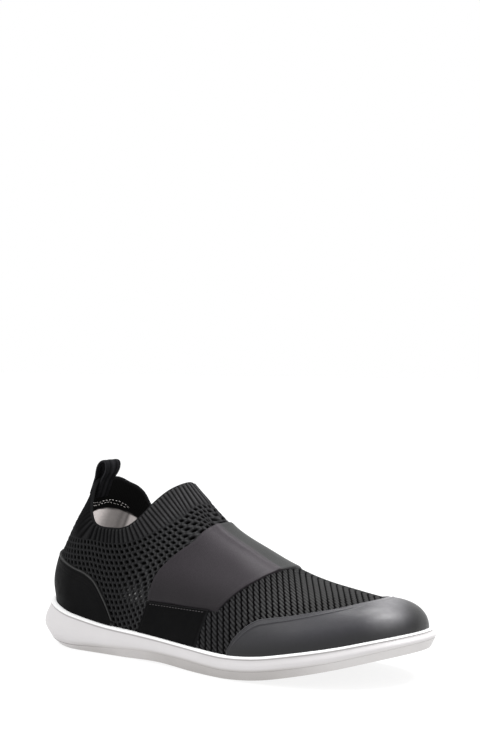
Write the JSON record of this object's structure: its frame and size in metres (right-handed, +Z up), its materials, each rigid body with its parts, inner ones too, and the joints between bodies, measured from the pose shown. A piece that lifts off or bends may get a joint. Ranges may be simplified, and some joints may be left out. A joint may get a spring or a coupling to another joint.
{
  "type": "slip-on sneaker",
  "caption": "Right slip-on sneaker: knit sock upper with ribbed collar, leather toe cap and heel counter, elastic instep strap, heel pull loop, insole and flared light unit sole",
  "frame": {"origin": "bottom centre of the shoe's box, on the floor", "axes": "+X from heel to toe, +Y to the wearer's left, the inner side of this right shoe, +Z up"},
  "size_m": [0.3006, 0.112, 0.13],
  "materials": {
    "tread_rubber": "matt moulded rubber",
    "white_foam": "satin moulded foam",
    "footbed": "textile-covered foam",
    "knit": "matt knitted yarn",
    "toe_leather": "smooth satin leather",
    "black_leather": "smooth leather",
    "satin_elastic": "woven elastic with a slight sheen",
    "webbing": "woven webbing"
  },
  "bodies": {
    "root": {"outsole": "tread_rubber", "midsole": "white_foam", "insole": "footbed", "upper": "knit", "toe_cap": "toe_leather", "heel_counter": "black_leather", "side_panel_lateral": "black_leather", "side_panel_medial": "black_leather", "elastic_strap": "satin_elastic", "pull_loop": "webbing"}
  },
  "joints": []
}
